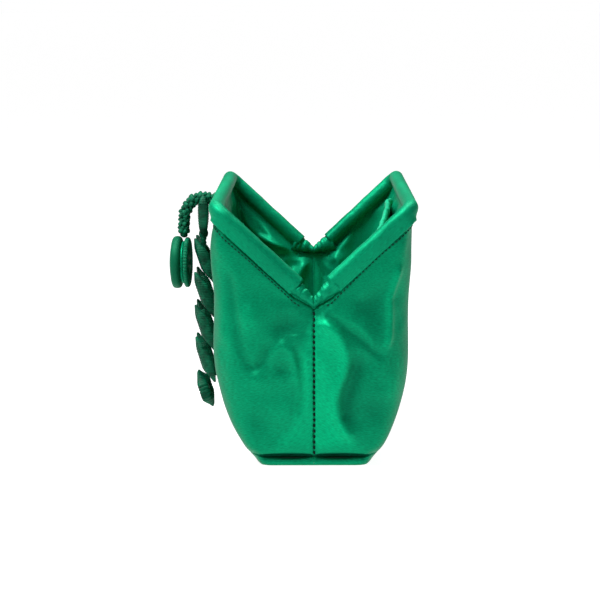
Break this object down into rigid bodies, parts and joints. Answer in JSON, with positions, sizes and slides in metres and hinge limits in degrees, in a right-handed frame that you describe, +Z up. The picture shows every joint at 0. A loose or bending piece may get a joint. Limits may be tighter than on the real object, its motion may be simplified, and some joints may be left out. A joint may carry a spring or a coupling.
{
  "type": "satin frame sack",
  "caption": "Soft boxed satin sack held open by hinged wire frames sewn into casings along its mouth, with a braided cord, a covered button and a wrist strap of thread-wrapped rings.",
  "frame": {"origin": "middle of the base, on the surface the sack stands on", "axes": "+Z up; +Y along the length, parallel to the line the frames swing about; the front, with the cord and strap, faces -X"},
  "size_m": [0.1349, 0.2206, 0.1392],
  "materials": {
    "outer_satin": "satin, tightly woven, soft sheen",
    "lining_satin": "thin satin lining",
    "sewing_thread": "matt twisted thread",
    "braided_cord": "knotted cord, low sheen",
    "wrapped_thread": "ribbed wound thread",
    "covered_button": "satin stretched over a domed button",
    "stiff_board": "pressed fibre board",
    "frame_steel": "plated wire"
  },
  "bodies": {
    "sack": {"front_panel": "outer_satin", "back_panel": "outer_satin", "front_panel_top": "outer_satin", "back_panel_top": "outer_satin", "front_lining": "lining_satin", "back_lining": "lining_satin", "base_board": "stiff_board", "slip_pocket": "lining_satin", "gathered_pocket": "lining_satin", "near_gathers": "outer_satin", "far_gathers": "outer_satin", "near_side_stitching": "sewing_thread", "far_side_stitching": "sewing_thread"},
    "front_frame_body": {"front_frame": "frame_steel", "front_casing": "outer_satin", "cord_anchor": "braided_cord", "braided_cord": "braided_cord"},
    "back_frame_body": {"back_frame": "frame_steel", "back_casing": "outer_satin"},
    "knot": {"hang_knot": "sewing_thread"},
    "button": {"button_shell": "covered_button", "button_back": "covered_button", "button_shank": "sewing_thread", "wrapped_disc": "wrapped_thread"},
    "strap_hanger": {"strap_ring": "wrapped_thread"},
    "strap": {"strap_tie": "sewing_thread", "near_link_1": "wrapped_thread", "near_link_2": "wrapped_thread", "near_link_3": "wrapped_thread", "near_link_4": "wrapped_thread", "far_link_1": "wrapped_thread", "far_link_2": "wrapped_thread", "far_link_3": "wrapped_thread", "far_link_4": "wrapped_thread", "end_link": "wrapped_thread", "link_ties": "sewing_thread"}
  },
  "joints": [
    {"name": "front_frame_swing", "type": "hinge", "parent": "sack", "child": "front_frame_body", "pos_m": [0, 0, 0.094], "axis": [0, 1, 0], "range_deg": [0, 46.5], "deforming": ["front_panel_top", "front_lining"]},
    {"name": "back_frame_swing", "type": "hinge", "parent": "sack", "child": "back_frame_body", "pos_m": [0, 0, 0.094], "axis": [0, 1, 0], "range_deg": [-46.5, 0], "deforming": ["back_panel_top", "back_lining"]},
    {"name": "strap_ring_tilt", "type": "hinge", "parent": "front_frame_body", "child": "strap_hanger", "pos_m": [-0.062, 0, 0.1367], "axis": [0, 1, 0], "range_deg": [-7.75, 0]},
    {"name": "strap_swing", "type": "hinge", "parent": "strap_hanger", "child": "strap", "pos_m": [-0.062, 0, 0.1116], "axis": [1, 0, 0], "range_deg": [-18, 18]},
    {"name": "knot_tilt", "type": "hinge", "parent": "front_frame_body", "child": "knot", "pos_m": [-0.073, 0, 0.1123], "axis": [0, 1, 0], "range_deg": [-7.75, 0]},
    {"name": "button_swing", "type": "hinge", "parent": "knot", "child": "button", "pos_m": [-0.073, 0, 0.1123], "axis": [1, 0, 0], "range_deg": [-20, 20]}
  ],
  "couplings": [
    {"joint": "back_frame_swing", "follows": "front_frame_swing", "ratio": -1},
    {"joint": "strap_ring_tilt", "follows": "front_frame_swing", "ratio": -0.16667},
    {"joint": "knot_tilt", "follows": "front_frame_swing", "ratio": -0.16667}
  ]
}
